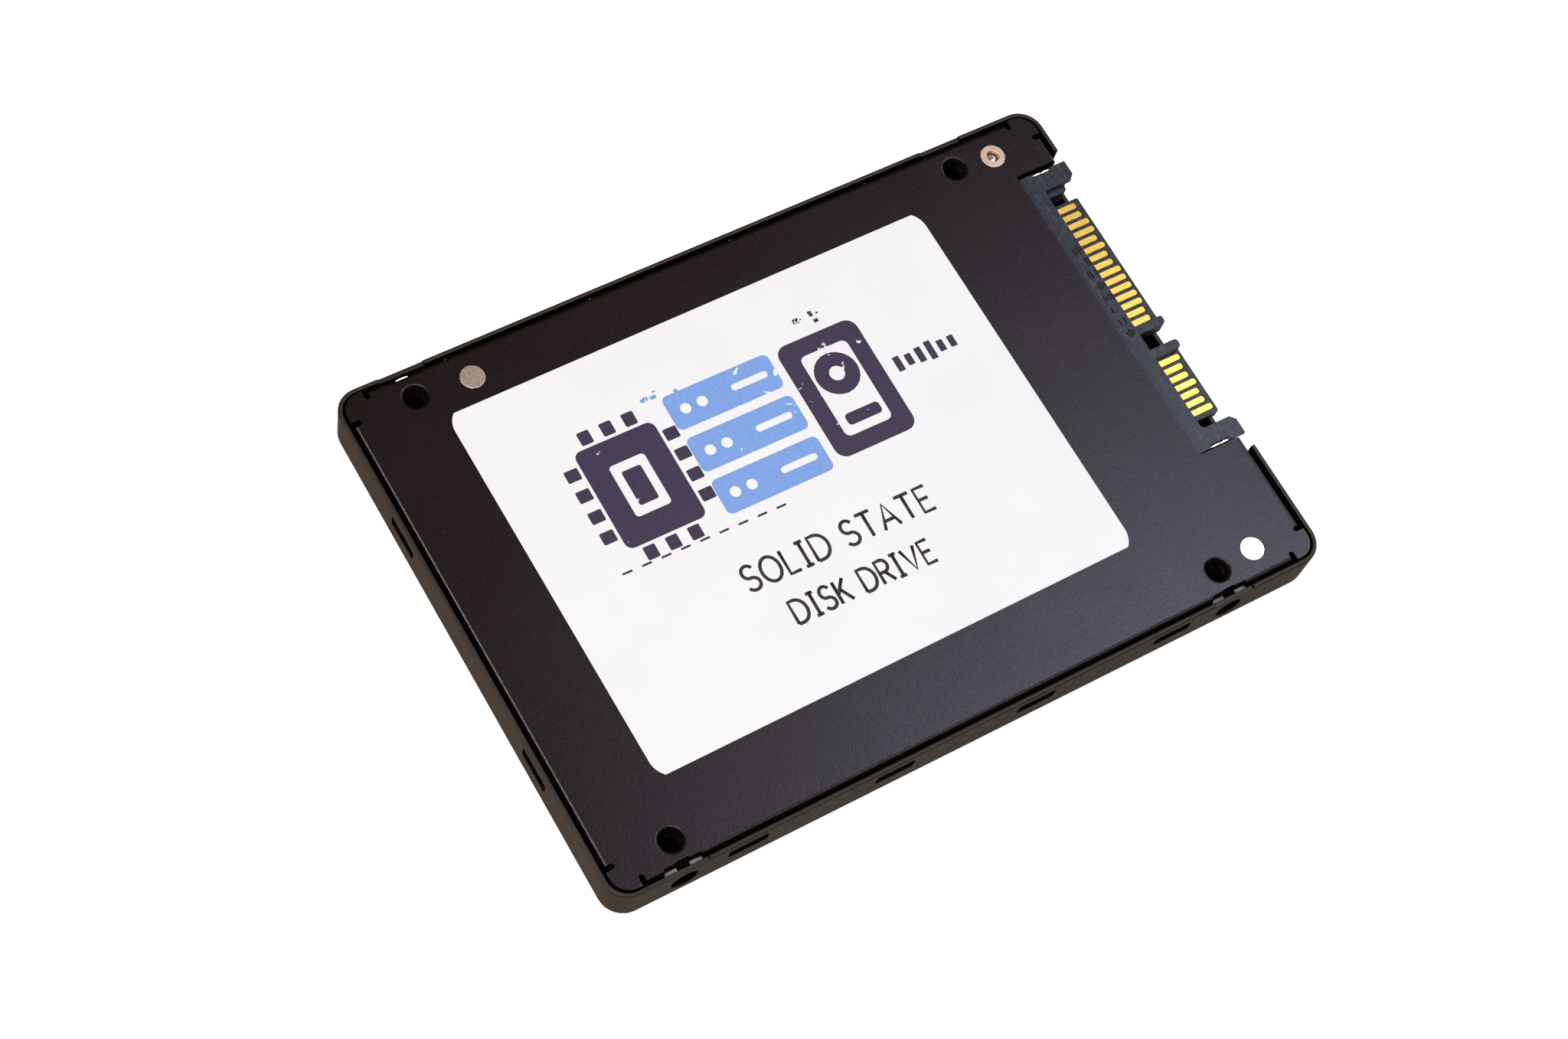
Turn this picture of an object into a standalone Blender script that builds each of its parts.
"""A 2.5 inch, 7 mm solid state drive, as an assembly of its separate pieces.

Frame: +X runs along the case to the connector end, +Z is up through the label side, and the origin is
under the middle of the whole drive, on the plane that its plain side rests on.
Lengths below are in millimetres. MM turns them into metres where a mesh is made.
"""

import math

import bmesh
import bpy
from mathutils import Matrix, Vector

MM = 0.001

# --- Driving dimensions -------------------------------------------------------------------------

# The case, to the 2.5 inch form factor: 100 x 69.85 x 7
CASE_LENGTH = 100.0
CASE_WIDTH = 69.85
CASE_HEIGHT = 7.0
NOSE = 0.1  # how far the connector's guide arms stand out of the case
FRONT_X = (CASE_LENGTH - NOSE) / 2
REAR_X = FRONT_X - CASE_LENGTH
MID_X = (FRONT_X + REAR_X) / 2
SIDE_Y = CASE_WIDTH / 2

# Mounting holes of the form factor
HOLE_FROM_FRONT = (14.0, 90.6)
HOLE_X = tuple(FRONT_X - distance for distance in HOLE_FROM_FRONT)
HOLE_Y = 61.72 / 2
SIDE_HOLE_Z = CASE_HEIGHT - 3.0
TAP_RADIUS = 1.25  # tapping drill of M3
DRAWN_RADIUS = 1.85  # mouth of a drawn hole, where the sheet turns in
BOSS_RADIUS = 1.9
BOSS_BOTTOM = 4.6
SIDE_BOSS_DEPTH = 0.6
HOLE_STEPS = 24

# Outer shell, a drawn tray
SHEET = 0.6
SHELL_CORNER = 3.2
SHELL_FILLET = 1.1
RIM_ROUNDING = 0.22
REAR_DRAFT = 0.35  # how far the rear wall leans in at its foot
CORNER_STEPS = 8
SIDE_CLEARANCE_RADIUS = 1.75
RIM_NOTCH_WIDTH = 5.9
RIM_NOTCH_DEPTH = 0.4
LOW_WALL_Z = 1.95
LOW_WALL_Y = (-18.65, 27.75)

# Snap windows in the tray's walls, and the bumps on the cover that click into them
WINDOW_WIDTH = 5.25
WINDOW_HEIGHT = 2.0
WINDOW_Z = 4.85
WINDOW_CORNER = 0.3
SIDE_WINDOW_X = tuple(MID_X - 2.5 + 19.85 * step for step in (-1.5, -0.5, 0.5, 1.5))
REAR_WINDOW_Y = (-16.05, 16.05)
BUMP_WIDTH = 4.95
BUMP_HEIGHT = 1.85
BUMP_STAND = 0.45
BUMP_SLOPE = 0.11

# Cover plate
PLATE = 0.5
CORNER_INSET = (0.95, 0.78)  # of the flat corners, from the tray's outer faces, along X and Y
FLANGE_INSET = (1.1, 0.93)
PLATE_CORNER = 2.4
BEND_RADIUS = 0.65
BEND_STEPS = 4
FLANGE_BOTTOM = 1.5
SLIT_FROM_MIDDLE = (45.7, 30.6)
SLIT_WIDTH = 0.7
SLIT_DEPTH = 1.3
SLIT_STEPS = 4
EDGE_NOTCH_WIDTH = 4.9
EDGE_NOTCH_DEPTH = 0.6
EAR_TOP = 6.0
EAR_OUTER = 0.66  # of the screw tabs' outer faces, in from the tray's
EAR_GAP = 1.7
EAR_GAP_BOTTOM = 5.5
WHOLE_TAB = (HOLE_X[0], 1)  # the one screw tab that has no gap in it

# Label
LABEL_CENTRE = (-5.1, 1.77)
LABEL_SIZE = (66.7, 50.85)
LABEL_CORNER = 3.0
LABEL_TRIM = 0.8  # how far inside its rounded outline the label's long edges are cut straight
LABEL_ASKEW = 0.33  # degrees: it is stuck on slightly crooked
LABEL_THICK = 0.08
LABEL_GAP = 0.01

# Circuit board and what holds it
BOARD_X = (-47.6, 44.9)
BOARD_Y = 32.1
BOARD_Z = (3.0, 4.0)
BOARD_CORNER = 1.5
BOARD_HOLE_RADIUS = 1.15
BOARD_NOTCH_RADIUS = 2.7
GAP = 0.05  # the play between pieces that touch
STANDOFF_XY = ((-33.3, 30.4), (41.55, -30.4))
INSERT_XY = (41.5, 30.45)
STANDOFF_HEAD = 1.57
STANDOFF_BARREL = 2.2
THREAD_RADIUS = 0.8
THREAD_TOP = 5.95
INSERT_TIP = 1.68
INSERT_ROOT = 1.56
INSERT_TEETH = 28
SCREW_HEAD = 1.75
SCREW_HEAD_HEIGHT = 0.8
SCREW_SHANK = 0.72
SOCKET_RADIUS = 0.8
SOCKET_DEPTH = 0.45

# Serial plug: the power tongue, the signal tongue and the guide arms
PLUG_Y = 4.83
PLUG_HALF_WIDTH = 21.42
OPENING_X = 42.6
OPENING_HALF_WIDTH = 21.76
OPENING_CORNER = 0.5
PLUG_REAR_X = 42.78
PLUG_FACE_X = 45.25
PLUG_TOP = 6.45
PLUG_BOTTOM = BOARD_Z[1] + GAP
ARM_TIP_X = FRONT_X + NOSE
ARM_BODY_X = 48.7
ARM_SLAB_Z = 5.85
ARM_BOTTOM = 3.0
UPPER_ARM_Y = 23.5
LOWER_ARM_Y = -13.83
ARM_ROOT = 0.45
ARM_CHAMFER = 0.7
RIB_Y = 22.75
TONGUE_TOP = 5.3
TONGUE_THICK = 1.23
TONGUE_X = 49.3
POWER_TONGUE_Y = (1.1, 21.35)
SIGNAL_TONGUE_Y = (-12.3, -1.7)
SIGNAL_KEY_Y = (-2.95, -1.7)
SIGNAL_KEY_X = 49.3
POWER_KEY_Y = (1.1, 2.3)
POWER_KEY_X = 50.0
POWER_KEY_BOTTOM = 3.3
LEDGE_X = 46.2

# Contacts, 1.27 apart
PITCH = 1.27
POWER_FIRST_Y = 2.72
POWER_COUNT = 15
SIGNAL_LAST_Y = POWER_FIRST_Y - 6.35
SIGNAL_COUNT = 7
CONTACT_WIDTH = 0.84
CONTACT_THICK = 0.25
CONTACT_STAND = 0.03
CONTACT_PLAY = 0.05
END_PLAY = 0.13
SHORT_END_X = 48.5
LONG_END_X = 48.9
EARLY_POWER = (3, 4, 5, 6, 7, 10, 12, 13)
EARLY_SIGNAL = (1, 4, 7)
TAIL_X = (41.2, 42.15)

# Board locks, the metal strips let into the arms' outer sides
LOCK_TOP_X = (44.85, 47.7)
LOCK_FOOT_X = (43.3, 44.85)
LOCK_THICK = 0.34
LOCK_RECESS = 0.42
LOCK_TOP = 6.4
LOCK_DIP = (46.2, 46.9, 0.12)
LOCK_FOOT_HEIGHT = 1.0
LOCK_FOOT_REACH = 1.4
LOCK_FOOT_THICK = 0.3

# Parts soldered on the board: (x, y) of the middle, then length, width and height
FLASH_SIZE = (14.0, 18.0, 1.1)
FLASH_X = (-36.0, -19.0)
FLASH_Y = (-12.5, 12.5)
CONTROLLER = ((6.0, 3.0), (15.0, 15.0, 1.15))
MEMORY = ((6.0, -15.0), (11.0, 9.0, 1.0))
FIRMWARE = ((20.0, 4.0), (5.2, 5.3, 1.6))
PAD_MARGIN = 1.0
INDUCTOR_SIZE = (4.0, 4.0, 1.8)
INDUCTOR_XY = ((33.0, 17.0), (33.0, 10.5))
REGULATOR = ((27.0, 14.0), (4.0, 4.0, 0.9))
CRYSTAL = ((14.0, -10.0), (3.2, 2.5, 0.75))
CAPACITOR_SIZE = (7.3, 4.3, 1.9)
CAPACITOR_XY = ((-30.0, -20.0), (-20.0, -20.0), (-10.0, -20.0), (0.0, -20.0))

# Base colours (linear), roughness, metallic
LOOKS = {
    "painted_cover": ((0.032, 0.029, 0.031), 0.55, 0.0),
    "painted_shell": ((0.040, 0.036, 0.032), 0.45, 0.0),
    "paper": ((0.90, 0.90, 0.92), 0.45, 0.0),
    "board": ((0.012, 0.045, 0.030), 0.40, 0.0),
    "plug_plastic": ((0.055, 0.060, 0.082), 0.50, 0.0),
    "gold": ((0.95, 0.62, 0.20), 0.25, 1.0),
    "tin": ((0.75, 0.73, 0.70), 0.30, 1.0),
    "steel": ((0.60, 0.59, 0.58), 0.35, 1.0),
    "brass": ((0.78, 0.50, 0.30), 0.35, 1.0),
    "chip_epoxy": ((0.018, 0.018, 0.020), 0.60, 0.0),
    "ferrite": ((0.060, 0.060, 0.065), 0.55, 0.0),
    "tantalum": ((0.72, 0.42, 0.05), 0.50, 0.0),
    "silicone": ((0.45, 0.52, 0.60), 0.80, 0.0),
}
SMOOTH_BELOW = 35  # degrees between faces


# --- Scene, materials and objects ---------------------------------------------------------------


def clear_scene():
    for obj in list(bpy.data.objects):
        bpy.data.objects.remove(obj, do_unlink=True)


def new_collection(name):
    collection = bpy.data.collections.new(name)
    bpy.context.scene.collection.children.link(collection)
    return collection


def make_material(name):
    colour, roughness, metallic = LOOKS[name]
    made = bpy.data.materials.new(name)
    made.use_nodes = True
    shader = made.node_tree.nodes["Principled BSDF"]
    shader.inputs["Base Color"].default_value = (*colour, 1.0)
    shader.inputs["Roughness"].default_value = roughness
    shader.inputs["Metallic"].default_value = metallic
    made.diffuse_color = (*colour, 1.0)
    return made


def link_mesh(name, bm, collection):
    """A new object from a bmesh in millimetres."""
    bmesh.ops.recalc_face_normals(bm, faces=bm.faces)
    bmesh.ops.scale(bm, vec=(MM, MM, MM), verts=bm.verts)
    mesh = bpy.data.meshes.new(name)
    bm.to_mesh(mesh)
    bm.free()
    obj = bpy.data.objects.new(name, mesh)
    collection.objects.link(obj)
    return obj


def make_part(name, bm, look):
    obj = link_mesh(name, bm, PARTS)
    obj.data.materials.append(MATERIALS[look])
    return obj


def make_tool(bm, tools):
    """A helper that a Boolean adds or takes away. tools is the collection that the Boolean reads."""
    obj = link_mesh(f"{tools.name}_{len(tools.objects) + 1}", bm, tools)
    obj.hide_render = True
    obj.display_type = "WIRE"
    return obj


def new_tools(name):
    collection = bpy.data.collections.new(name)
    CUTTERS.children.link(collection)
    return collection


def boolean(obj, tools, operation):
    modifier = obj.modifiers.new(tools.name, "BOOLEAN")
    modifier.operation = operation
    modifier.operand_type = "COLLECTION"
    modifier.collection = tools
    modifier.solver = "EXACT"


def finish(obj):
    """Makes the modifiers' result the object's own mesh, with its round faces shaded smooth."""
    bpy.context.view_layer.update()
    evaluated = obj.evaluated_get(bpy.context.evaluated_depsgraph_get())
    mesh = bpy.data.meshes.new_from_object(evaluated)
    obj.modifiers.clear()
    obj.data = mesh
    mesh.name = obj.name
    mesh.shade_smooth()
    mesh.set_sharp_from_angle(angle=math.radians(SMOOTH_BELOW))


# --- Shapes -------------------------------------------------------------------------------------


def arc(centre, radius, start, end, steps):
    """Points along an arc, with its angles in degrees."""
    points = []
    for step in range(steps + 1):
        angle = math.radians(start + (end - start) * step / steps)
        points.append((centre[0] + radius * math.cos(angle), centre[1] + radius * math.sin(angle)))
    return points


def rounded_rectangle(x, y, radius, steps=4):
    points = []
    corners = ((x[1] - radius, y[1] - radius), (x[0] + radius, y[1] - radius),
               (x[0] + radius, y[0] + radius), (x[1] - radius, y[0] + radius))
    for turn, centre in enumerate(corners):
        points += arc(centre, radius, 90 * turn, 90 * turn + 90, steps)
    return points


def prism(outline, low, high):
    """The flat outline, drawn on XY, made solid from the low height to the high one."""
    bm = bmesh.new()
    face = bm.faces.new([bm.verts.new((x, y, low)) for x, y in outline])
    grown = bmesh.ops.extrude_face_region(bm, geom=[face])
    moved = [item for item in grown["geom"] if isinstance(item, bmesh.types.BMVert)]
    bmesh.ops.translate(bm, vec=(0, 0, high - low), verts=moved)
    return bm


def box(x, y, z):
    bm = bmesh.new()
    bmesh.ops.create_cube(bm, size=1.0)
    bmesh.ops.scale(bm, vec=(x[1] - x[0], y[1] - y[0], z[1] - z[0]), verts=bm.verts)
    middle = Vector(((x[0] + x[1]) / 2, (y[0] + y[1]) / 2, (z[0] + z[1]) / 2))
    bmesh.ops.translate(bm, vec=middle, verts=bm.verts)
    return bm


def cylinder(centre, radius, length, axis="Z", steps=HOLE_STEPS):
    """A cylinder about its centre, along the named axis."""
    bm = bmesh.new()
    bmesh.ops.create_cone(bm, cap_ends=True, segments=steps, radius1=radius, radius2=radius, depth=length)
    if axis == "Y":
        bmesh.ops.rotate(bm, matrix=Matrix.Rotation(math.pi / 2, 3, "X"), verts=bm.verts)
    bmesh.ops.translate(bm, vec=centre, verts=bm.verts)
    return bm


def turned(name, profile, xy, collection, steps=HOLE_STEPS):
    """A turned body. Its profile of (radius, height) runs down the outer side, from top to bottom."""
    mesh = bpy.data.meshes.new(name)
    points = [(radius * MM, 0.0, height * MM) for radius, height in profile]
    mesh.from_pydata(points, [(i, i + 1) for i in range(len(points) - 1)], [])
    obj = bpy.data.objects.new(name, mesh)
    obj.location = (xy[0] * MM, xy[1] * MM, 0.0)
    collection.objects.link(obj)
    screw = obj.modifiers.new("turn", "SCREW")
    screw.axis = "Z"
    screw.steps = steps
    screw.render_steps = steps
    screw.use_merge_vertices = True
    screw.merge_threshold = 0.000001
    return obj


def both_sides(points):
    """The given (x, y) places, and the same places across the drive's long middle line."""
    return [(x, side * y) for x, y in points for side in (1, -1)]


# --- Outer shell --------------------------------------------------------------------------------


def shell_cutters():
    tools = new_tools("shell_cutters")
    beyond = SHEET * 3
    for x in HOLE_X:
        for side in (1, -1):
            make_tool(cylinder((x, side * SIDE_Y, SIDE_HOLE_Z), SIDE_CLEARANCE_RADIUS, beyond, "Y"), tools)
            notch_x = (x - RIM_NOTCH_WIDTH / 2, x + RIM_NOTCH_WIDTH / 2)
            notch_y = sorted((side * (SIDE_Y - beyond / 2), side * (SIDE_Y + beyond / 2)))
            make_tool(box(notch_x, notch_y, (CASE_HEIGHT - RIM_NOTCH_DEPTH, CASE_HEIGHT + 1)), tools)
    window_z = (WINDOW_Z - WINDOW_HEIGHT / 2, WINDOW_Z + WINDOW_HEIGHT / 2)
    half = WINDOW_WIDTH / 2
    for x in SIDE_WINDOW_X:
        for side in (1, -1):
            window = rounded_rectangle((x - half, x + half), window_z, WINDOW_CORNER, 2)
            bm = prism(window, -beyond / 2, beyond / 2)
            bmesh.ops.rotate(bm, matrix=Matrix.Rotation(math.pi / 2, 3, "X"), verts=bm.verts)
            bmesh.ops.translate(bm, vec=(0, side * SIDE_Y, 0), verts=bm.verts)
            make_tool(bm, tools)
    for y in REAR_WINDOW_Y:
        window = rounded_rectangle(window_z, (y - half, y + half), WINDOW_CORNER, 2)
        bm = prism(window, -beyond / 2, beyond / 2)
        bmesh.ops.rotate(bm, matrix=Matrix.Rotation(-math.pi / 2, 3, "Y"), verts=bm.verts)
        bmesh.ops.translate(bm, vec=(REAR_X, 0, 0), verts=bm.verts)
        make_tool(bm, tools)
    make_tool(box((FRONT_X - beyond, FRONT_X + 1), LOW_WALL_Y, (LOW_WALL_Z, CASE_HEIGHT + 1)), tools)
    return tools


def outer_shell():
    """A drawn tray: an open surface with a rounded bottom edge, thickened inwards."""
    outline = rounded_rectangle((REAR_X, FRONT_X), (-SIDE_Y, SIDE_Y), SHELL_CORNER, CORNER_STEPS)
    bm = prism(outline, 0.0, CASE_HEIGHT)
    top = max(bm.faces, key=lambda face: face.calc_center_median().z)
    bottom = [edge for edge in bm.edges if all(vert.co.z < SHELL_FILLET for vert in edge.verts)]
    bmesh.ops.delete(bm, geom=[top], context="FACES_ONLY")
    bmesh.ops.bevel(bm, geom=bottom, offset=SHELL_FILLET, segments=4, profile=0.5, affect="EDGES")
    for vert in bm.verts:
        if vert.co.x < MID_X:
            vert.co.x += REAR_DRAFT * (1 - vert.co.z / CASE_HEIGHT)
    obj = make_part("outer_shell", bm, "painted_shell")
    solidify = obj.modifiers.new("sheet", "SOLIDIFY")
    solidify.thickness = SHEET * MM
    solidify.offset = -1.0
    solidify.use_even_offset = True
    rim = obj.modifiers.new("rim", "BEVEL")
    rim.width = RIM_ROUNDING * MM
    rim.segments = 2
    rim.limit_method = "ANGLE"
    rim.angle_limit = math.radians(50)
    boolean(obj, shell_cutters(), "DIFFERENCE")


# --- Cover plate --------------------------------------------------------------------------------


def cover_surface():
    """The cover's outer face: a flat plate whose edges turn down between the corner slits."""
    corner_x, corner_y = CASE_LENGTH / 2 - CORNER_INSET[0], SIDE_Y - CORNER_INSET[1]
    bend_x = CASE_LENGTH / 2 - FLANGE_INSET[0] - BEND_RADIUS
    bend_y = SIDE_Y - FLANGE_INSET[1] - BEND_RADIUS
    slit_x, slit_y = SLIT_FROM_MIDDLE
    half = SLIT_WIDTH / 2
    root_x, root_y = corner_x - SLIT_DEPTH + half, corner_y - SLIT_DEPTH + half
    # One corner, from the end flange round to the side flange
    quarter = [(bend_x, slit_y - half)]
    quarter += arc((root_x, slit_y), half, 270, 90, SLIT_STEPS)
    quarter += [(corner_x, slit_y + half)]
    quarter += arc((corner_x - PLATE_CORNER, corner_y - PLATE_CORNER), PLATE_CORNER, 0, 90, CORNER_STEPS)
    quarter += [(slit_x + half, corner_y)]
    quarter += arc((slit_x, root_y), half, 0, -180, SLIT_STEPS)
    quarter += [(slit_x - half, bend_y)]
    mirrored = [(-x, y) for x, y in reversed(quarter)]
    outline = quarter + mirrored
    outline += [(-x, -y) for x, y in outline]
    bm = bmesh.new()
    bm.faces.new([bm.verts.new((x + MID_X, y, CASE_HEIGHT)) for x, y in outline])
    for axis, bend in ((0, bend_x), (1, bend_y)):
        for sign in (1, -1):
            turn_down(bm, axis, sign, bend)
    return bm


def turn_down(bm, axis, sign, bend):
    """Extrudes the plate's long edge on one side through the bend and down to the flange's end."""
    middle = (MID_X, 0.0)[axis]

    def on_bend(edge):
        return all(abs(sign * (vert.co[axis] - middle) - bend) < 0.001 for vert in edge.verts)

    edges = [edge for edge in bm.edges if on_bend(edge) and edge.calc_length() > 1.0]
    stops = arc((0.0, -BEND_RADIUS), BEND_RADIUS, 90, 0, BEND_STEPS)
    stops.append((BEND_RADIUS, FLANGE_BOTTOM - CASE_HEIGHT))
    for before, after in zip(stops, stops[1:]):
        step = Vector((0.0, 0.0, after[1] - before[1]))
        step[axis] = sign * (after[0] - before[0])
        grown = bmesh.ops.extrude_edge_only(bm, edges=edges)
        edges = [item for item in grown["geom"] if isinstance(item, bmesh.types.BMEdge)]
        moved = [item for item in grown["geom"] if isinstance(item, bmesh.types.BMVert)]
        bmesh.ops.translate(bm, vec=step, verts=moved)


def cover_additions():
    """The collars and tabs of the threaded holes, and the bumps that snap into the tray's windows."""
    tools = new_tools("cover_additions")
    plate_bottom = CASE_HEIGHT - PLATE
    flange_y = SIDE_Y - FLANGE_INSET[1]
    flange_x = CASE_LENGTH / 2 - FLANGE_INSET[0]
    overlap = PLATE / 2
    collar_height = plate_bottom + overlap - BOSS_BOTTOM
    side_depth = SIDE_BOSS_DEPTH + overlap
    for x in HOLE_X:
        for side in (1, -1):
            middle_z = BOSS_BOTTOM + collar_height / 2
            make_tool(cylinder((x, side * HOLE_Y, middle_z), BOSS_RADIUS, collar_height), tools)
            middle_y = side * (flange_y - PLATE + overlap - side_depth / 2)
            make_tool(cylinder((x, middle_y, SIDE_HOLE_Z), BOSS_RADIUS, side_depth, "Y"), tools)
            tab_y = sorted((side * (flange_y - overlap), side * (SIDE_Y - EAR_OUTER)))
            tab_x = (x - EDGE_NOTCH_WIDTH / 2, x + EDGE_NOTCH_WIDTH / 2)
            make_tool(box(tab_x, tab_y, (FLANGE_BOTTOM + PLATE, EAR_TOP)), tools)
    for x in SIDE_WINDOW_X:
        for side in (1, -1):
            reach = sorted((side * (flange_y - overlap), side * (flange_y + BUMP_STAND)))
            make_tool(bump((x - BUMP_WIDTH / 2, x + BUMP_WIDTH / 2), reach, 1, side), tools)
    for y in REAR_WINDOW_Y:
        reach = (MID_X - flange_x - BUMP_STAND, MID_X - flange_x + overlap)
        make_tool(bump(reach, (y - BUMP_WIDTH / 2, y + BUMP_WIDTH / 2), 0, -1), tools)
    return tools


def bump(x, y, axis, side):
    """A pressed bump on a flange, with its outer edges sloped."""
    bm = box(x, y, (WINDOW_Z - BUMP_HEIGHT / 2, WINDOW_Z + BUMP_HEIGHT / 2))
    outer = max(bm.faces, key=lambda face: side * face.calc_center_median()[axis])
    bmesh.ops.bevel(bm, geom=list(outer.edges), offset=BUMP_SLOPE, segments=1, affect="EDGES")
    return bm


def cover_cutters():
    tools = new_tools("cover_cutters")
    top = CASE_HEIGHT + 1
    through = 12.0
    end = BOSS_BOTTOM - 1
    profile = [(0.0, top), (DRAWN_RADIUS, top)]
    profile += arc((DRAWN_RADIUS, CASE_HEIGHT - PLATE), PLATE, 90, 180, 3)
    profile += [(TAP_RADIUS, CASE_HEIGHT - PLATE - 0.15), (TAP_RADIUS, end), (0.0, end)]
    flange_y = SIDE_Y - FLANGE_INSET[1]
    for x in HOLE_X:
        for side in (1, -1):
            drawn = turned(f"drawn_hole_{x:.0f}_{side}", profile, (x, side * HOLE_Y), tools)
            drawn.hide_render = True
            drawn.display_type = "WIRE"
            make_tool(cylinder((x, side * flange_y, SIDE_HOLE_Z), TAP_RADIUS, 4.0, "Y"), tools)
            notch_x = (x - EDGE_NOTCH_WIDTH / 2, x + EDGE_NOTCH_WIDTH / 2)
            notch_y = sorted((side * (SIDE_Y - CORNER_INSET[1] - EDGE_NOTCH_DEPTH), side * SIDE_Y))
            make_tool(box(notch_x, notch_y, (EAR_TOP, top)), tools)
            under_y = sorted((side * (flange_y - PLATE - 0.1), side * SIDE_Y))
            make_tool(box(notch_x, under_y, (EAR_TOP, CASE_HEIGHT - PLATE)), tools)
            if (x, side) != WHOLE_TAB:
                gap_x = (x - EAR_GAP / 2, x + EAR_GAP / 2)
                make_tool(box(gap_x, under_y, (EAR_GAP_BOTTOM, top)), tools)
    for x, y in STANDOFF_XY:
        make_tool(cylinder((x, y, CASE_HEIGHT), STANDOFF_HEAD + GAP, 2.0), tools)
    make_tool(cylinder((*INSERT_XY, CASE_HEIGHT), INSERT_TIP + GAP, 2.0), tools)
    opening_y = (PLUG_Y - OPENING_HALF_WIDTH, PLUG_Y + OPENING_HALF_WIDTH)
    opening = rounded_rectangle((OPENING_X, OPENING_X + through), opening_y, OPENING_CORNER)
    make_tool(prism(opening, 0.0, top), tools)
    return tools


def cover_plate():
    obj = make_part("cover_plate", cover_surface(), "painted_cover")
    solidify = obj.modifiers.new("sheet", "SOLIDIFY")
    solidify.thickness = PLATE * MM
    solidify.offset = -1.0
    solidify.use_even_offset = True
    boolean(obj, cover_additions(), "UNION")
    boolean(obj, cover_cutters(), "DIFFERENCE")


def label():
    """A rounded label, its long edges cut straight through the ends of the corner arcs."""
    half_length, half_width = LABEL_SIZE[0] / 2, LABEL_SIZE[1] / 2
    centre = (half_length - LABEL_CORNER, half_width + LABEL_TRIM - LABEL_CORNER)
    stop = math.degrees(math.asin(1 - LABEL_TRIM / LABEL_CORNER))
    quarter = arc(centre, LABEL_CORNER, 0, stop, 6)
    outline = quarter + [(-x, y) for x, y in reversed(quarter)]
    outline += [(-x, -y) for x, y in outline]
    obj = make_part("label", prism(outline, 0.0, LABEL_THICK), "paper")
    obj.location = Vector((*LABEL_CENTRE, CASE_HEIGHT + LABEL_GAP)) * MM
    obj.rotation_euler.z = math.radians(LABEL_ASKEW)


# --- Circuit board, standoffs and screws --------------------------------------------------------


def circuit_board():
    outline = rounded_rectangle(BOARD_X, (-BOARD_Y, BOARD_Y), BOARD_CORNER)
    obj = make_part("circuit_board", prism(outline, *BOARD_Z), "board")
    tools = new_tools("board_cutters")
    middle_z = sum(BOARD_Z) / 2
    for x, y in (*STANDOFF_XY, INSERT_XY):
        make_tool(cylinder((x, y, middle_z), BOARD_HOLE_RADIUS, 2.0), tools)
    for x, y in both_sides([(x, HOLE_Y + 0.6) for x in HOLE_X]):
        make_tool(cylinder((x, y, middle_z), BOARD_NOTCH_RADIUS, 2.0), tools)
    boolean(obj, tools, "DIFFERENCE")


def finish_turned(obj, look):
    obj.data.materials.append(MATERIALS[look])


def blind_standoff(name, xy):
    """A threaded pillar pressed into the cover, with its closed head flush in the plate."""
    under_plate = CASE_HEIGHT - PLATE - GAP
    bottom = BOARD_Z[1] + GAP
    profile = [(0.0, CASE_HEIGHT), (STANDOFF_HEAD, CASE_HEIGHT), (STANDOFF_HEAD, under_plate),
               (STANDOFF_BARREL, under_plate), (STANDOFF_BARREL, bottom), (THREAD_RADIUS, bottom),
               (THREAD_RADIUS, THREAD_TOP), (0.0, THREAD_TOP)]
    finish_turned(turned(name, profile, xy, PARTS), "steel")


def knurled_insert():
    """A through-threaded insert with a toothed head flush in the plate."""
    outline = []
    for tooth in range(INSERT_TEETH * 2):
        radius = INSERT_ROOT if tooth % 2 else INSERT_TIP
        angle = math.pi * tooth / INSERT_TEETH
        outline.append((INSERT_XY[0] + radius * math.cos(angle), INSERT_XY[1] + radius * math.sin(angle)))
    under_plate = CASE_HEIGHT - PLATE - GAP
    bottom = BOARD_Z[1] + GAP
    obj = make_part("knurled_insert", prism(outline, under_plate - GAP, CASE_HEIGHT), "brass")
    barrel = new_tools("insert_barrel")
    middle = (*INSERT_XY, (under_plate + bottom) / 2)
    make_tool(cylinder(middle, STANDOFF_BARREL, under_plate - bottom), barrel)
    boolean(obj, barrel, "UNION")
    bore = new_tools("insert_bore")
    make_tool(cylinder((*INSERT_XY, CASE_HEIGHT - 2), THREAD_RADIUS, 8.0), bore)
    boolean(obj, bore, "DIFFERENCE")


def board_screw(name, xy, tip):
    """A board screw, head down: its recess opens towards the tray's floor."""
    seat = BOARD_Z[0] - GAP
    end = seat - SCREW_HEAD_HEIGHT
    point = 0.25
    profile = [(0.0, tip), (SCREW_SHANK - point, tip), (SCREW_SHANK, tip - point), (SCREW_SHANK, seat),
               (SCREW_HEAD, seat), (SCREW_HEAD, end + point), (SCREW_HEAD - point, end),
               (SOCKET_RADIUS, end), (SOCKET_RADIUS / 2, end + SOCKET_DEPTH), (0.0, end + SOCKET_DEPTH)]
    finish_turned(turned(name, profile, xy, PARTS), "steel")


# --- Connector ----------------------------------------------------------------------------------


def arm_outline(inner, outer, root, tip):
    """A guide arm seen from above, from inside the base to its tip, chamfered on the inner side."""
    chamfered = inner + math.copysign(ARM_CHAMFER, outer - inner)
    nose = [(tip - ARM_CHAMFER, inner), (tip, chamfered), (tip, outer)]
    return [(root, inner)] + nose + [(root, outer)]


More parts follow.
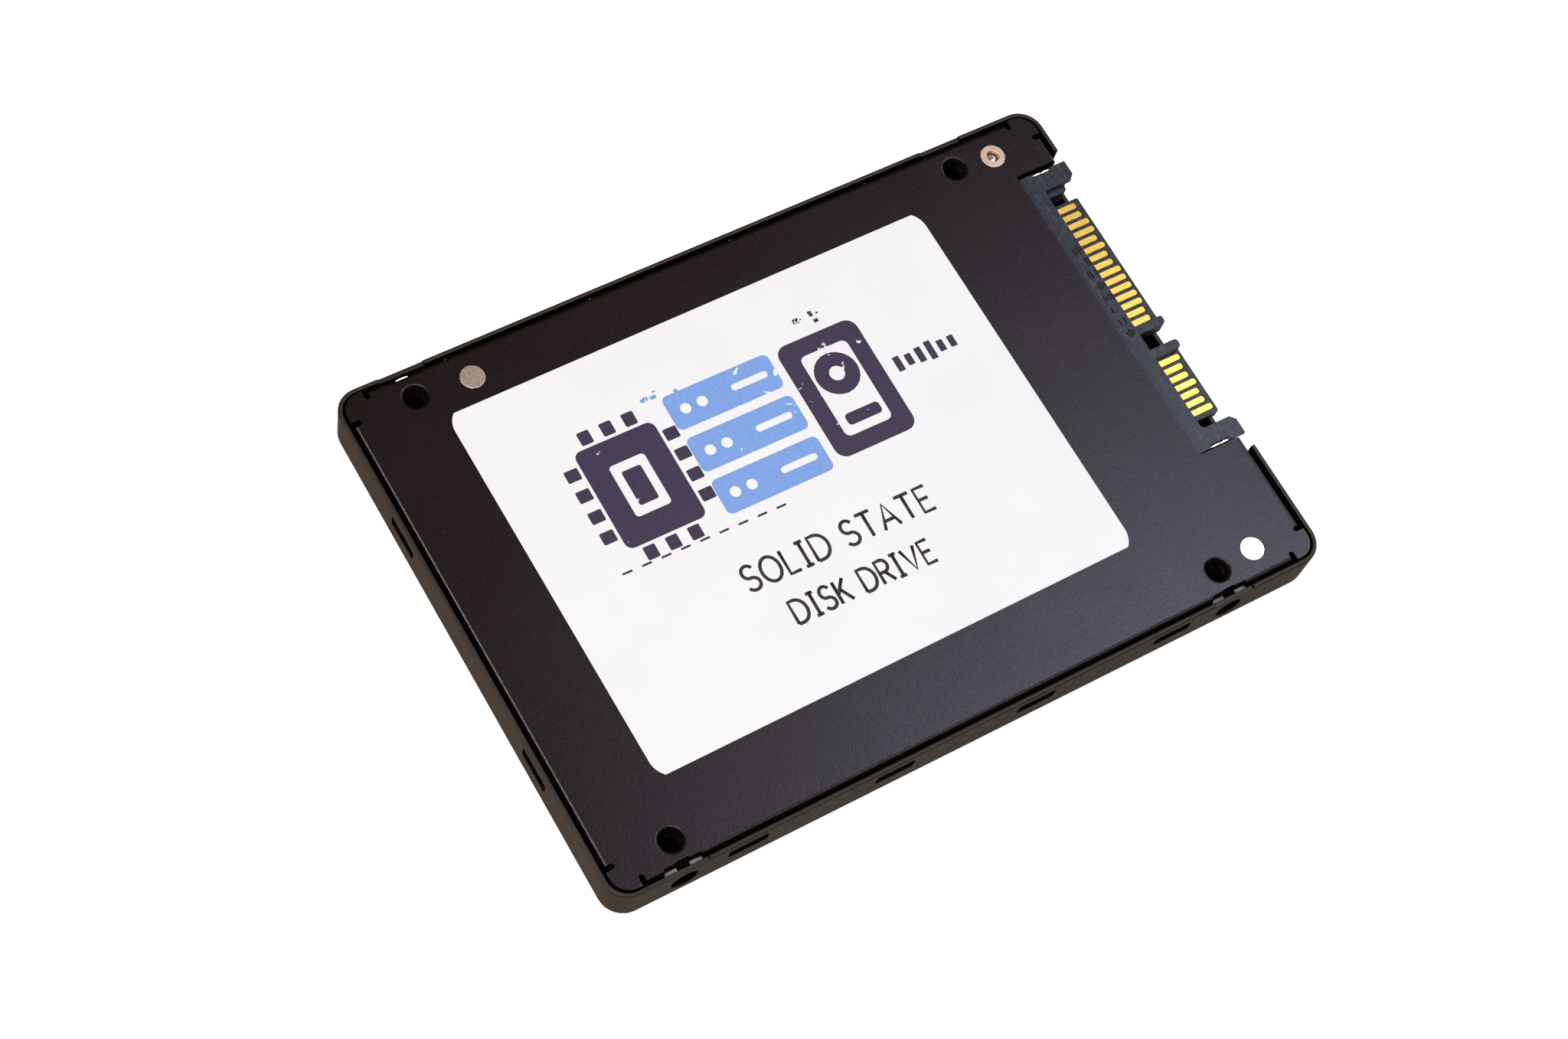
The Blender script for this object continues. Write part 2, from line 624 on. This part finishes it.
def fillet_at(corner, toward_y):
    """A small gusset that rounds the root between the base's front face and an arm's inner face."""
    x, y = corner
    centre = (x + ARM_ROOT, y + toward_y * ARM_ROOT)
    start, end = (180, 270) if toward_y > 0 else (180, 90)
    outline = [(x - 0.2, y - toward_y * 0.2), (x - 0.2, centre[1])]
    outline += arc(centre, ARM_ROOT, start, end, 4)
    return outline + [(centre[0], y - toward_y * 0.2)]


def rounded_nose(x, y, low_rounding, high_rounding, steps):
    """A strip seen from above, with a square root at x[0] and a nose with rounded corners at x[1]."""
    nose = arc((x[1] - low_rounding, y[0] + low_rounding), low_rounding, 270, 360, steps)
    nose += arc((x[1] - high_rounding, y[1] - high_rounding), high_rounding, 0, 90, steps)
    return [(x[0], y[0])] + nose + [(x[0], y[1])]


def blade(y, x_end, z, rounding):
    """A tongue or a key from inside the base to its rounded front edge."""
    return prism(rounded_nose((PLUG_REAR_X + 0.5, x_end), y, rounding, rounding, 3), *z)


def plug_additions():
    tools = new_tools("plug_additions")
    outer = (PLUG_Y - PLUG_HALF_WIDTH, PLUG_Y + PLUG_HALF_WIDTH)
    root = PLUG_FACE_X - 0.5
    for inner, edge, toward in ((UPPER_ARM_Y, outer[1], -1), (LOWER_ARM_Y, outer[0], 1)):
        make_tool(prism(arm_outline(inner, edge, root, ARM_TIP_X), ARM_SLAB_Z, PLUG_TOP), tools)
        block = (PLUG_FACE_X + GAP, ARM_BODY_X)
        make_tool(box(block, sorted((inner, edge)), (ARM_BOTTOM, ARM_SLAB_Z + GAP)), tools)
        make_tool(prism(fillet_at((PLUG_FACE_X, inner), toward), PLUG_BOTTOM, PLUG_TOP), tools)
    start = PLUG_FACE_X + GAP
    rib = [(start, RIB_Y)] + arc((ARM_BODY_X - 0.6, RIB_Y + 0.6), 0.6, 270, 360, 4)
    rib += [(ARM_BODY_X, UPPER_ARM_Y + 0.2), (start, UPPER_ARM_Y + 0.2)]
    make_tool(prism(rib, ARM_BOTTOM, TONGUE_TOP), tools)
    tongue_z = (TONGUE_TOP - TONGUE_THICK, TONGUE_TOP)
    make_tool(blade(POWER_TONGUE_Y, TONGUE_X, tongue_z, 0.15), tools)
    make_tool(blade(SIGNAL_TONGUE_Y, TONGUE_X, tongue_z, 0.35), tools)
    make_tool(blade(SIGNAL_KEY_Y, SIGNAL_KEY_X, (tongue_z[0], PLUG_TOP), 0.45), tools)
    power_key = rounded_nose((start, POWER_KEY_X), POWER_KEY_Y, 0.5, 0.3, 4)
    make_tool(prism(power_key, POWER_KEY_BOTTOM, TONGUE_TOP), tools)
    ledge_y = (SIGNAL_KEY_Y[1] - 0.1, POWER_KEY_Y[0] + 0.1)
    make_tool(box((start, LEDGE_X), ledge_y, (ARM_BOTTOM, tongue_z[0] + 0.1)), tools)
    make_tool(box((PLUG_FACE_X - 0.4, LEDGE_X), ledge_y, (PLUG_BOTTOM, tongue_z[0] + 0.1)), tools)
    return tools


def contact_places():
    """(node name, y, x of the outer end) of each contact."""
    places = []
    for number in range(1, POWER_COUNT + 1):
        end = LONG_END_X if number in EARLY_POWER else SHORT_END_X
        places.append((f"power_contact_{number:02d}", POWER_FIRST_Y + (number - 1) * PITCH, end))
    for number in range(1, SIGNAL_COUNT + 1):
        end = LONG_END_X if number in EARLY_SIGNAL else SHORT_END_X
        places.append((f"signal_contact_{number}", SIGNAL_LAST_Y - (SIGNAL_COUNT - number) * PITCH, end))
    return places


def plug_cutters():
    tools = new_tools("plug_cutters")
    floor = TONGUE_TOP + CONTACT_STAND - CONTACT_THICK - CONTACT_PLAY
    ceiling = TONGUE_TOP + CONTACT_STAND + CONTACT_PLAY
    half = CONTACT_WIDTH / 2 + CONTACT_PLAY
    for _, y, end in contact_places():
        groove = rounded_nose((PLUG_REAR_X - 1, end + END_PLAY), (y - half, y + half), 0.3, 0.3, 2)
        make_tool(prism(groove, floor, ceiling), tools)
    for side in (1, -1):
        face = PLUG_Y + side * PLUG_HALF_WIDTH
        recess = sorted((face - side * LOCK_RECESS, face + side))
        slot = (LOCK_TOP_X[0] - GAP, LOCK_TOP_X[1] + GAP)
        make_tool(box(slot, recess, (ARM_BOTTOM - 1, PLUG_TOP + 1)), tools)
        foot = (LOCK_FOOT_X[0] - GAP, LOCK_TOP_X[0])
        make_tool(box(foot, recess, (ARM_BOTTOM - 1, PLUG_BOTTOM + LOCK_FOOT_HEIGHT + GAP)), tools)
    return tools


def connector_housing():
    outer = (PLUG_Y - PLUG_HALF_WIDTH, PLUG_Y + PLUG_HALF_WIDTH)
    corner = 0.45
    outline = arc((PLUG_REAR_X + corner, outer[1] - corner), corner, 90, 180, 3)
    outline += arc((PLUG_REAR_X + corner, outer[0] + corner), corner, 180, 270, 3)
    outline += [(PLUG_FACE_X, outer[0]), (PLUG_FACE_X, outer[1])]
    obj = make_part("connector_housing", prism(outline, PLUG_BOTTOM, PLUG_TOP), "plug_plastic")
    boolean(obj, plug_additions(), "UNION")
    boolean(obj, plug_cutters(), "DIFFERENCE")


def contact(name, y, end):
    """A flat contact strip on the tongue, through the base, and stepped down to its foot on the board."""
    top = TONGUE_TOP + CONTACT_STAND
    foot = BOARD_Z[1] + GAP
    riser_x = TAIL_X[1] + CONTACT_THICK
    side = [(end, top), (TAIL_X[1], top), (TAIL_X[1], foot + CONTACT_THICK),
            (TAIL_X[0], foot + CONTACT_THICK), (TAIL_X[0], foot), (riser_x, foot),
            (riser_x, top - CONTACT_THICK), (end, top - CONTACT_THICK)]
    bm = prism(side, -CONTACT_WIDTH / 2, CONTACT_WIDTH / 2)
    bmesh.ops.rotate(bm, matrix=Matrix.Rotation(math.pi / 2, 3, "X"), verts=bm.verts)
    bmesh.ops.translate(bm, vec=(0, y, 0), verts=bm.verts)
    tip = [edge for edge in bm.edges if all(vert.co.x > end - 0.01 for vert in edge.verts)
           and abs(edge.verts[0].co.z - edge.verts[1].co.z) > 0.1]
    bmesh.ops.bevel(bm, geom=tip, offset=0.25, segments=2, profile=0.5, affect="EDGES")
    make_part(name, bm, "gold")


def board_lock(name, side):
    """A strip in the arm's outer side, whose foot is soldered on the board."""
    bottom = BOARD_Z[1] + GAP
    dip_start, dip_end, dip = LOCK_DIP
    outline = [(LOCK_FOOT_X[0], bottom), (LOCK_TOP_X[1], bottom), (LOCK_TOP_X[1], LOCK_TOP),
               (dip_end, LOCK_TOP), (dip_end - 0.1, LOCK_TOP - dip), (dip_start + 0.1, LOCK_TOP - dip),
               (dip_start, LOCK_TOP), (LOCK_TOP_X[0], LOCK_TOP),
               (LOCK_TOP_X[0], bottom + LOCK_FOOT_HEIGHT), (LOCK_FOOT_X[0], bottom + LOCK_FOOT_HEIGHT)]
    bm = prism(outline, 0.0, LOCK_THICK)
    bmesh.ops.rotate(bm, matrix=Matrix.Rotation(math.pi / 2, 3, "X"), verts=bm.verts)
    face = PLUG_Y + side * PLUG_HALF_WIDTH
    outer = face if side > 0 else face + LOCK_THICK
    bmesh.ops.translate(bm, vec=(0, outer, 0), verts=bm.verts)
    obj = make_part(name, bm, "tin")
    tools = new_tools(f"{name}_foot")
    reach = sorted((face - side * LOCK_THICK / 2, face + side * LOCK_FOOT_REACH))
    make_tool(box(LOCK_FOOT_X, reach, (bottom, bottom + LOCK_FOOT_THICK)), tools)
    boolean(obj, tools, "UNION")


# --- Parts soldered on the board ----------------------------------------------------------------


def package(name, xy, size, look, under=False, chamfer=0.15):
    """A rectangular component body on the board's upper face, or under its lower one."""
    x = (xy[0] - size[0] / 2, xy[0] + size[0] / 2)
    y = (xy[1] - size[1] / 2, xy[1] + size[1] / 2)
    base = BOARD_Z[0] - GAP - size[2] if under else BOARD_Z[1] + GAP
    obj = make_part(name, box(x, y, (base, base + size[2])), look)
    bevel = obj.modifiers.new("mould", "BEVEL")
    bevel.width = chamfer * MM
    bevel.segments = 1
    return obj


def soldered_parts():
    number = 0
    for x in FLASH_X:
        for y in FLASH_Y:
            number += 1
            package(f"flash_package_{number}", (x, y), FLASH_SIZE, "chip_epoxy", under=True)
    package("controller_chip", *CONTROLLER, "chip_epoxy", under=True)
    package("memory_chip", *MEMORY, "chip_epoxy", under=True)
    package("firmware_chip", *FIRMWARE, "chip_epoxy")
    package("voltage_regulator", *REGULATOR, "chip_epoxy")
    package("crystal", *CRYSTAL, "tin")
    for number, xy in enumerate(INDUCTOR_XY, 1):
        package(f"power_inductor_{number}", xy, INDUCTOR_SIZE, "ferrite", chamfer=0.5)
    for number, xy in enumerate(CAPACITOR_XY, 1):
        package(f"capacitor_{number}", xy, CAPACITOR_SIZE, "tantalum", chamfer=0.25)


def thermal_pad():
    """The soft pad that fills the space between the controller and the tray's floor."""
    (x, y), (length, width, height) = CONTROLLER
    half_x, half_y = length / 2 - PAD_MARGIN, width / 2 - PAD_MARGIN
    top = BOARD_Z[0] - GAP - height - GAP
    outline = rounded_rectangle((x - half_x, x + half_x), (y - half_y, y + half_y), 0.5, 2)
    make_part("thermal_pad", prism(outline, SHEET + GAP, top), "silicone")


# --- Assembly -----------------------------------------------------------------------------------

clear_scene()
PARTS = new_collection("solid_state_drive")
CUTTERS = new_collection("cutters")
MATERIALS = {name: make_material(name) for name in LOOKS}

outer_shell()
cover_plate()
label()
circuit_board()
blind_standoff("blind_standoff_rear", STANDOFF_XY[0])
blind_standoff("blind_standoff_front", STANDOFF_XY[1])
knurled_insert()
board_screw("board_screw_1", STANDOFF_XY[0], THREAD_TOP - 0.3)
board_screw("board_screw_2", STANDOFF_XY[1], THREAD_TOP - 0.3)
board_screw("board_screw_3", INSERT_XY, PLUG_TOP)
connector_housing()
for contact_name, contact_y, contact_end in contact_places():
    contact(contact_name, contact_y, contact_end)
board_lock("board_lock_left", 1)
board_lock("board_lock_right", -1)
soldered_parts()
thermal_pad()
for part in PARTS.objects:
    finish(part)
